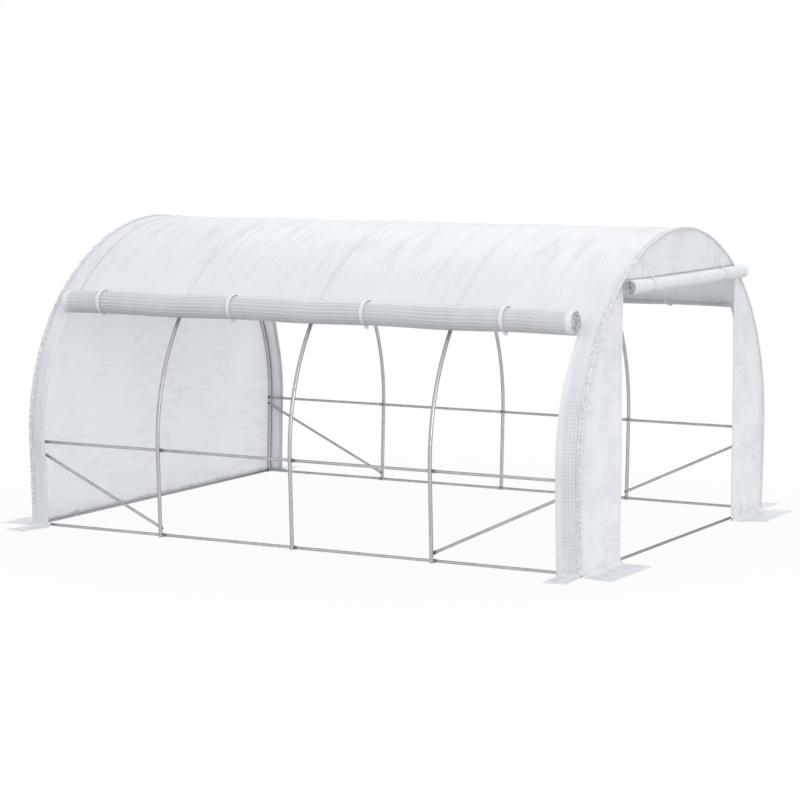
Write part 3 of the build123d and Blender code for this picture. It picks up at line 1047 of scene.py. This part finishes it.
def hemPlace(a, b, end, side):
    look = hemLook
    share = outward(a, end * side)
    x = end * (bandEdge + look["edgeIn"] + look["width"] * share)
    reach = side * (hemTopReach + (footReach - look["footGap"] - hemTopReach) * b)
    shift, wave = bandDrape(end, x, reach)
    inset = (look["width"] * share + look["edgeIn"]) / (wallFace - bandEdge)
    lift = look["lift"] + look["fold"] * math.sin(math.pi * share)
    return coverPlace(x + shift * (1 - inset), reach, wave + lift), (x, reach)


for endName, end in ends:
    for sideName, side in sides:
        node = f"{sideName}_{endName}_hem"
        placeAt = partial(hemPlace, end=end, side=side)
        hem = clothGrid(node + "_tape", hemLook["cells"], placeAt, hemLook["thickness"], hemTape)
        dressPiece(hem, None, "hem_tape", node)

seamLook = {
    "bead": 0.0068,
    "sides": 8,
    "steps": 900,
    "inset": 0.001,
    "footGap": 0.010,
    "puckers": (0.0024, 0.0014),
    "stripEdges": (0.026, 0.024),
    "stripFootGap": 0.012,
    "stripLift": 0.0026,
    "stripThick": 0.001,
    "stripCells": (4, 640),
}


def makeBead(name, steps, placeAt, material):
    # a closed cord of cloth: a grid rolled into a tube and capped
    clearSelection()
    bpy.ops.mesh.primitive_grid_add(x_subdivisions=seamLook["sides"], y_subdivisions=steps, size=2)
    bead = namePiece(bpy.context.object, name)
    for vertex in bead.data.vertices:
        vertex.co = placeAt((vertex.co.x + 1) / 2, (vertex.co.y + 1) / 2)
    bead.data.uv_layers[0].name = "clothMetres"
    editPiece(bead)
    bpy.ops.mesh.select_all(action="SELECT")
    bpy.ops.mesh.remove_doubles(threshold=0.00005)
    choose("edges", lambda e: e.is_boundary)
    bpy.ops.mesh.edge_face_add()
    facesOut()
    bpy.ops.object.shade_smooth()
    dressPiece(bead, material, "cover_sheet")


def seamPlace(a, b, end):
    look = seamLook
    reach = (footReach - look["footGap"]) * (2 * b - 1)
    turn = -end * 2 * math.pi * a
    pucker = look["puckers"][0] * ripple(reach * 52, math.sin(turn) * 0.6, 3.0)
    pucker += look["puckers"][1] * ripple(reach * 120, math.cos(turn), 5.0)
    flat, out = outlinePoint(reach, sheetOffset - look["inset"])
    radius = look["bead"] + pucker
    x = end * (wallFace - look["inset"]) + radius * math.cos(turn)
    return Vector((x, *(flat + out * radius * math.sin(turn))))


def stripPlace(a, b, end):
    # the band's edge, drawn up into small puckers beside the seam
    look = seamLook
    share = outward(a, end)
    x = end * (wallFace - look["stripEdges"][0] + look["stripEdges"][1] * share)
    reach = (footReach - look["stripFootGap"]) * (2 * b - 1)
    _, wave = bandDrape(end, x, reach)
    pucker = look["puckers"][0] * ripple(reach * 42, share * 1.4, 11.0)
    pucker += look["puckers"][1] * ripple(reach * 90, share * 3, 13.0)
    held = math.sin(math.pi * (0.15 + 0.7 * share))
    return coverPlace(x, reach, wave + look["stripLift"] + pucker * held), (x, reach)


for endName, end in ends:
    makeBead(f"{endName}_gathered_seam", seamLook["steps"], partial(seamPlace, end=end), gatheredHem)
    name, placeAt = f"{endName}_gathered_strip", partial(stripPlace, end=end)
    strip = clothGrid(name, seamLook["stripCells"], placeAt, seamLook["stripThick"], gatheredHem)
    dressPiece(strip, None, "cover_sheet")

roofSeamLook = {"footGap": 0.004, "width": 0.0024, "height": 0.0018, "steps": 260}


def roofSeamPlace(a, b):
    look = roofSeamLook
    reach = (rollReach - look["footGap"]) * (2 * b - 1)
    turn = 2 * math.pi * a
    lift = coverRelief(-bandEdge, reach) + look["height"] * math.sin(turn)
    flat, _ = outlinePoint(reach, sheetOffset + lift)
    return Vector((-bandEdge + look["width"] * math.cos(turn), flat.x, flat.y))


# a thin bead on the roof's seam at the closed end; its dark grey is painted shadow of the step at the seam
makeBead("closed_end_roof_shadow_seam", roofSeamLook["steps"], roofSeamPlace, seamShadowGrey)

zipLook = {
    "width": 0.022,
    "thickness": 0.0015,
    "foot": 0.004,
    "top": 1.64,
    "cells": (3, 90),
    "tooth": 0.0026,
    "toothShape": (0.8, 1.5, 1.0, 1.0),
    "firstTooth": 0.012,
    "pitch": 0.0072,
    "coil": 0.0055,
    "topGap": 0.02,
    "tapeLift": 0.0003,
    "toothLift": 0.001,
}


def zipFace(y, z, lift):
    return Vector((wallFace + wallRelief(y, z) + zipLook["thickness"] + lift, y, z))


def zipPlace(a, b, side):
    y = side * (doorEdge + zipLook["width"] * outward(a, side))
    z = zipLook["foot"] + (zipLook["top"] - zipLook["foot"]) * b
    return zipFace(y, z, zipLook["tapeLift"]), (y, z)


def makeTeeth(name, side):
    look = zipLook
    clearSelection()
    bpy.ops.mesh.primitive_cube_add(size=look["tooth"])
    tooth = bpy.context.object
    settle(tooth)
    tooth.data.transform(Matrix.Diagonal(look["toothShape"]))
    teeth = []
    for number in range(int((look["top"] - look["topGap"]) / look["pitch"])):
        z = look["firstTooth"] + number * look["pitch"]
        place = zipFace(side * (doorEdge + look["coil"]), z, look["toothLift"])
        teeth.append(copyPiece(tooth, f"tooth{number}", Matrix.Translation(place)))
    bpy.data.objects.remove(tooth)
    dressPiece(joinPieces(teeth, name), hemTape, "hem_tape")


for sideName, side in sides:
    placeAt = partial(zipPlace, side=side)
    tape = clothGrid(f"{sideName}_zip_tape", zipLook["cells"], placeAt, zipLook["thickness"], hemTape)
    dressPiece(tape, None, "hem_tape", f"door_zip_{sideName}")
    makeTeeth(f"{sideName}_zip_teeth", side)
print("hems, seams and zips made")

# Rolled-up sides and door

sideRoll = {
    "radius": 0.075,
    "leftEnd": -bandEdge,
    "leftGap": 0.002,
    "rightEnd": 1.874,
    "pitch": 0.0105,
    "turns": 6.4,
    "stepsPerTurn": 36,
    "cells": 90,
    "thickness": 0.0052,
    "sink": 0.0006,
    "stagger": 0.010,
    "hemRim": 0.034,
    "sag": 0.007,
    "strapPlaces": (-1.57, -0.555, 0.43, 1.40),
    "strapGrip": 0.002,
    "strapSpread": 0.03,
    "loose": (0.0012, 0.0006),
}


def spiral(look, turn):
    # how far out a wound sheet lies after this turn, in radians, and the cloth that has gone into it
    radius = look["radius"] - look["pitch"] * turn / (2 * math.pi)
    return radius, (look["radius"] - look["pitch"] * turn / (4 * math.pi)) * turn


def endStagger(look, turn, pace, row, seed):
    # how far each inner turn's edge stands in from the roll's end
    return look["stagger"] * (0.5 + 0.5 * ripple(turn * pace, row, seed)) * ease(turn, 0.5, 3.0)


def makeRoll(node, look, placeAt, material, axis, centre, width, under):
    # the wound sheet, with a pale hem round each end of its outer turn, and painted shade in grey on its end
    # faces and on the inner turns near its ends
    cells = (look["cells"], int(look["turns"] * look["stepsPerTurn"]))
    _, length = spiral(look, look["turns"] * 2 * math.pi)
    facts = {"flat": (width, length), "held": "gathered", "rests_on": [under]}
    roll = makeSheet(node, cells, placeAt, look["thickness"], material, **facts)
    roll.data.materials.append(hemTape)
    roll.data.materials.append(rollEndShade)
    # faces on the roll's ends, and inner turns near them, get the painted shade grey
    for face in roll.data.polygons:
        gap = min(face.center[axis] - look["leftEnd"], look["rightEnd"] - face.center[axis])
        out = face.center - centre
        out[axis] = 0
        if abs(face.normal[axis]) > 0.7:
            face.material_index = 2
        elif gap < look["hemRim"]:
            face.material_index = 1 if out.length > 0.9 * look["radius"] else 2


def rollAxis(side):
    flat, _ = outlinePoint(side * rollReach, sheetOffset + sideRoll["radius"] - sideRoll["sink"])
    inward = Vector((0, -side * math.cos(rollAngle), -math.sin(rollAngle)))
    downward = Vector((0, side * math.sin(rollAngle), -math.cos(rollAngle)))
    return Vector((0, flat.x, flat.y)), inward, downward


def rollSag(x):
    # the roll hangs a little between the places where it is strapped
    return -sideRoll["sag"] * abs(math.cos(math.pi * x)) ** 2


def rollPlace(a, b, side):
    look = sideRoll
    centre, inward, downward = rollAxis(side)
    turn = look["turns"] * 2 * math.pi * b
    step = 2 * outward(a, side) - 1
    stagger = endStagger(look, turn, 1.1, side * 3.0, 7.0 if step > 0 else 17.0)
    x = step * ((look["rightEnd"] if step > 0 else bandEdge - look["leftGap"]) - stagger)
    loose = look["loose"][0] * ripple(x * 3.5, turn * 0.9, 12.0)
    loose += look["loose"][1] * ripple(x * 10, turn * 2.5, 15.0)
    grip = look["strapGrip"] * pinch(x, look["strapPlaces"], look["strapSpread"])
    radius, length = spiral(look, turn)
    radius += (loose - grip) * ease(turn, 0.0, 0.8)
    place = centre + radius * (math.cos(turn) * inward + math.sin(turn) * downward)
    place += Vector((x, 0, rollSag(x) * ease(turn, 0.0, 1.2)))
    return place, (x, rollReach + length)


for (sideName, side), cloth in zip(sides, (rollCloth, backRollShadeCloth)):
    node, placeAt = f"{sideName}_side_roll", partial(rollPlace, side=side)
    makeRoll(node, sideRoll, placeAt, cloth, 0, rollAxis(side)[0], 2 * bandEdge, "roof_cloth")

strapLook = {
    "width": 0.029,
    "wovenWidth": 0.026,
    "thickness": 0.0018,
    "gap": 0.0016,
    "start": 0.05,
    "lap": 1.02,
    "flare": 0.004,
    "cells": (2, 56),
    "tail": {-1: 0.020, 1: 0.008},
    "tailGap": 0.005,
    "tailSlip": 0.004,
    "tailBend": 2.6,
    "tailFrom": (0.45, 0.893),
    "tailCurl": 0.006,
    "tailCells": (2, 8),
}


def strapPath(share, side):
    # from inside the roof's edge, under the roll, round its outside and back over it to the roof
    centre, inward, downward = rollAxis(side)
    turn = 2 * math.pi * share * strapLook["lap"] - strapLook["start"]
    radius = sideRoll["radius"] + strapLook["gap"] + strapLook["thickness"]
    radius += strapLook["flare"] * ease(turn, 4.4, 6.2)
    return centre + radius * (math.cos(turn) * inward + math.sin(turn) * downward), 0.5 * share


def tailPath(share, side):
    # the strap's loose end, which hangs below the roll with a slight curl
    centre, inward, downward = rollAxis(side)
    under, down = strapLook["tailFrom"]
    root = centre + (sideRoll["radius"] + strapLook["tailGap"]) * (under * inward + down * downward)
    drop = strapLook["tail"][side] * share
    curl = strapLook["tailCurl"] * (share + math.sin(strapLook["tailBend"] * share))
    return root + Vector((strapLook["tailSlip"] * share, -side * curl, -drop)), 0.5 + drop


def makeWebbing(cells, path, side, x):
    def webbingPlace(a, b):
        share = outward(a, side)
        spot, along = path(b, side)
        across = Vector((x + strapLook["width"] * (share - 0.5), 0, rollSag(x)))
        return spot + across, (share * strapLook["wovenWidth"], along)

    return clothGrid("webbing", cells, webbingPlace, strapLook["thickness"], hemTape)


for sideName, side in sides:
    straps = []
    for x in sideRoll["strapPlaces"]:
        straps.append(makeWebbing(strapLook["cells"], strapPath, side, x))
        straps.append(makeWebbing(strapLook["tailCells"], tailPath, side, x))
    strap = joinPieces(straps, f"{sideName}_roll_strap_webbing")
    dressPiece(strap, None, "strap_webbing", f"{sideName}_roll_straps")

doorRoll = {
    "radius": 0.0445,
    "leftEnd": -0.925,
    "rightEnd": 0.950,
    "pitch": 0.0062,
    "turns": 6.2,
    "stepsPerTurn": 32,
    "cells": 110,
    "thickness": 0.0034,
    "height": 1.697,
    "standOff": 0.001,
    "stagger": 0.008,
    "hemRim": 0.022,
    "sag": 0.005,
    "tiePlaces": (-0.6, 0.57),
    "tiePinch": 0.0065,
    "tieSpread": 0.024,
    "loose": (0.0018, 0.0012),
}
doorAxis = Vector((wallFace + doorRoll["radius"] + doorRoll["standOff"], 0, doorRoll["height"]))


def doorSag(y):
    return doorRoll["sag"] * (1 - (y / doorRoll["rightEnd"]) ** 2)


def doorRollPlace(a, b):
    look = doorRoll
    turn = 2 * math.pi * look["turns"] * b
    middle, half = (look["leftEnd"] + look["rightEnd"]) / 2, (look["rightEnd"] - look["leftEnd"]) / 2
    step = 1 - 2 * a
    y = middle + step * (half - endStagger(look, turn, 1.3, 2.0, 7.0 if step > 0 else 27.0))
    loose = look["loose"][0] * ripple(y * 4, turn * 0.9, 31.0)
    loose += look["loose"][1] * ripple(y * 11, turn * 2.0, 36.0)
    loose -= look["tiePinch"] * pinch(y, look["tiePlaces"], look["tieSpread"])
    radius, length = spiral(look, turn)
    radius += loose * ease(turn, 0.0, 0.8)
    offset = radius * Vector((-math.cos(turn), 0, -math.sin(turn)))
    return doorAxis + offset + Vector((0, y, -doorSag(y) * ease(turn, 0.0, 1.2))), (y, length)


doorWidth = doorRoll["rightEnd"] - doorRoll["leftEnd"]
makeRoll("door_roll", doorRoll, doorRollPlace, doorRollShadeCloth, 1, doorAxis, doorWidth, "door_wall_top_cloth")

tieLook = {
    "radius": 0.0032,
    "press": 0.0045,
    "drop": 0.003,
    "anchor": (0.003, 1.850),
    "turns": (62, 30, 0, -40, -80, -120, -150),
    "behind": ((0.0, 0.0, 0.0), (0.001, -0.012, -0.055), (0.001, -0.016, -0.118)),
}


def makeTie(y):
    # one strand over the roll and round under it, and one hanging behind it
    look = tieLook
    hug = doorRoll["radius"] + look["radius"] - look["press"]
    anchor = Vector((wallFace + look["anchor"][0], y, look["anchor"][1]))
    around = [anchor]
    for angle in map(math.radians, look["turns"]):
        around.append(doorAxis + Vector((hug * math.cos(angle), y, hug * math.sin(angle) - look["drop"])))
    curve = bpy.data.curves.new("tieLine", "CURVE")
    curve.dimensions = "3D"
    curve.bevel_depth, curve.bevel_resolution, curve.use_fill_caps = look["radius"], 3, True
    for strand in (around, [anchor + Vector(step) for step in look["behind"]]):
        spline = curve.splines.new("POLY")
        spline.points.add(len(strand) - 1)
        for point, place in zip(spline.points, strand):
            point.co = (*place, 1)
    holder = bpy.data.objects.new("tieLine", curve)
    scene.collection.objects.link(holder)
    pick(holder)
    bpy.ops.object.convert(target="MESH")
    return bpy.context.object


tie = joinPieces([makeTie(y) for y in doorRoll["tiePlaces"]], "door_roll_tie_cords")
bpy.ops.object.shade_smooth()
tie.data.uv_layers.new(name="clothMetres")
dressPiece(tie, hemTape, "strap_webbing", "door_roll_ties")

headSeamLook = {"half": 0.9, "sink": 0.001, "lift": 0.001, "width": 0.0022, "height": 0.0035, "steps": 200}


def headSeamPlace(a, b):
    # the stitched edge of the top panel just above the rolled-up door, as a dark bead of painted shadow
    # between the roll and the panel
    look = headSeamLook
    turn = 2 * math.pi * a
    y = look["half"] * (2 * b - 1)
    z = doorRoll["height"] + doorRoll["radius"] - look["sink"] - doorSag(y)
    x = wallFace + wallRelief(y, z) + look["lift"] + look["width"] * math.cos(turn)
    return Vector((x, y, z + look["height"] * math.sin(turn)))


makeBead("door_head_shadow_seam", headSeamLook["steps"], headSeamPlace, seamShadowGrey)
print("rolls, straps and ties made")

# Ground skirts

skirtLook = {
    "thickness": 0.0014,
    "turnUp": 0.030,
    "turnReach": 0.035,
    "lift": 0.010,
    "ground": 0.0022,
    "wander": 0.006,
    "reach": (2.245, 1.772),
    "cornerReach": (2.045, 1.55),
    "flare": (0.030, 0.045),
    "skew": (0.010, 0.012),
}


def makeSkirt(node, corners, cells, seed):
    # corners in plan, the two near ones first; the near edge climbs a little way up the wall it is sewn to
    look = skirtLook
    nearLeft, nearRight, farLeft, farRight = (Vector(corner) for corner in corners)

    def skirtPlace(a, b):
        near, far = nearLeft.lerp(nearRight, a), farLeft.lerp(farRight, a)
        run = (far - near).length
        wander = look["wander"] * ripple(a * 3, 1.0, seed) * b
        plan = near.lerp(far, b) + (far - near).normalized() * wander
        wave = 0.5 + 0.5 * ripple(plan.x * 7, plan.y * 7, seed)
        rise = look["turnUp"] * max(0.0, 1 - b * run / look["turnReach"]) ** 2
        z = look["ground"] + look["lift"] * wave * ease(b, 0.08, 0.7) + rise
        return Vector((plan.x, plan.y, z)), (a * (nearRight - nearLeft).length, run * b)

    width = ((nearRight - nearLeft).length + (farRight - farLeft).length) / 2
    length = ((farLeft - nearLeft).length + (farRight - nearRight).length) / 2
    makeSheet(node, cells, skirtPlace, look["thickness"], skirtCloth, flat=(width, length), held="laid")


footHalf = halfWidthAt(0.0, sheetOffset)
reachX, reachY = skirtLook["reach"]
cornerX, cornerY = skirtLook["cornerReach"]
for endName, end in ends:
    for sideName, side in sides:
        inner = (end * bandEdge, side * footHalf)
        outer = (end * wallFace, side * footHalf)
        farInner = (end * (bandEdge + skirtLook["flare"][0]), side * reachY)
        farOuter = (end * cornerX, side * (reachY - skirtLook["skew"][1]))
        order = (outer, inner, farOuter, farInner) if end * side > 0 else (inner, outer, farInner, farOuter)
        makeSkirt(f"{sideName}_{endName}_skirt", order, (8, 16), 3.0 + 2 * end + side)
for sideName, side in sides:
    inner = (wallFace, side * doorEdge)
    outer = (wallFace, side * footHalf)
    farInner = (reachX, side * (doorEdge + skirtLook["flare"][1]))
    farOuter = (reachX - skirtLook["skew"][0], side * cornerY)
    order = (inner, outer, farInner, farOuter) if side < 0 else (outer, inner, farOuter, farInner)
    makeSkirt(f"door_wall_{sideName}_skirt", order, (26, 14), 20.0 + side)
closedCorners = [(-x, side * y) for x, y in ((wallFace, footHalf), (reachX, cornerY)) for side in (-1, 1)]
makeSkirt("closed_wall_skirt", closedCorners, (120, 14), 31.0)
print("skirts made")

# Floor, light and camera

studioLook = {
    "floorReach": 60.0,
    "floorColour": (0.44, 0.445, 0.45, 1),
    "paperFade": (2.0, 6.0, 0.95, 1.0),
    "worldColour": (0.95, 0.97, 1.0, 1),
    "zenith": 0.83,
    "horizon": 1.46,
    "zenithFrom": 0.85,
    "aim": (0, 0, 0.9),
}
lampLooks = {
    "overhead": {"place": (-0.5, 4.5, 6.5), "size": (9.0, 6.0), "power": 132.0},
    "frontKey": {"place": (9.8, -6.3, 3.0), "size": (5.0, 4.0), "power": 265.0},
}
cameraLook = {
    "lens": 114.708,
    "sensor": 36.0,
    "place": (8.2719, -15.0934, 2.757),
    "azimuth": 28.8237,
    "elevation": 6.4626,
}


def floorMaterial():
    # white paper to the camera, a little darker round the tunnel, and a plain grey floor to everything else
    material, tree, shader = newMaterial("studioFloor")
    tree.nodes.remove(shader)
    distance = addNode(tree, "VectorMath", {0: objectPlace(tree)}, operation="LENGTH").outputs["Value"]
    lit = addNode(tree, "BsdfDiffuse", {"Color": studioLook["floorColour"]}).outputs[0]
    white = addNode(tree, "Emission", {"Color": (1, 1, 1, 1)}).outputs[0]
    paper = rampNode(tree, distance, *studioLook["paperFade"])
    share = times(tree, seenAsBackground(tree), paper)
    feed(tree, tree.nodes["Material Output"], {"Surface": mixShaders(tree, share, lit, white)})
    return material


clearSelection()
bpy.ops.mesh.primitive_plane_add(size=2 * studioLook["floorReach"], location=(0, 0, 0))
floor = bpy.context.object
floor.name = "studio_floor"
settle(floor)
floor.data.materials.append(floorMaterial())

world = bpy.data.worlds.new("studioWorld")
world.use_nodes = True
scene.world = world
sky = world.node_tree
sky.nodes.clear()
way = addNode(sky, "TexCoord", {}).outputs["Generated"]
height = addNode(sky, "SeparateXYZ", {0: way}).outputs["Z"]
strength = rampNode(sky, height, 0.0, studioLook["zenithFrom"], studioLook["horizon"], studioLook["zenith"])
ambient = addNode(sky, "Background", {"Color": studioLook["worldColour"], "Strength": strength}).outputs[0]
backdrop = addNode(sky, "Background", {"Color": (1, 1, 1, 1)}).outputs[0]
addNode(sky, "OutputWorld", {"Surface": mixShaders(sky, seenAsBackground(sky), ambient, backdrop)})

for lampName, look in lampLooks.items():
    lamp = bpy.data.lights.new(lampName, "AREA")
    lamp.shape = "RECTANGLE"
    lamp.size, lamp.size_y = look["size"]
    lamp.energy = look["power"]
    holder = bpy.data.objects.new(lampName, lamp)
    holder.location = look["place"]
    aim = Vector(studioLook["aim"]) - Vector(look["place"])
    holder.rotation_euler = aim.to_track_quat("-Z", "Y").to_euler()
    scene.collection.objects.link(holder)

cameraData = bpy.data.cameras.new("photoCamera")
cameraData.lens = cameraLook["lens"]
cameraData.sensor_width = cameraLook["sensor"]
cameraData.sensor_fit = "HORIZONTAL"
camera = bpy.data.objects.new("photoCamera", cameraData)
camera.location = cameraLook["place"]
camera.rotation_euler = (math.radians(90 - cameraLook["elevation"]), 0, math.radians(cameraLook["azimuth"]))
scene.collection.objects.link(camera)
scene.camera = camera
print("studio made")
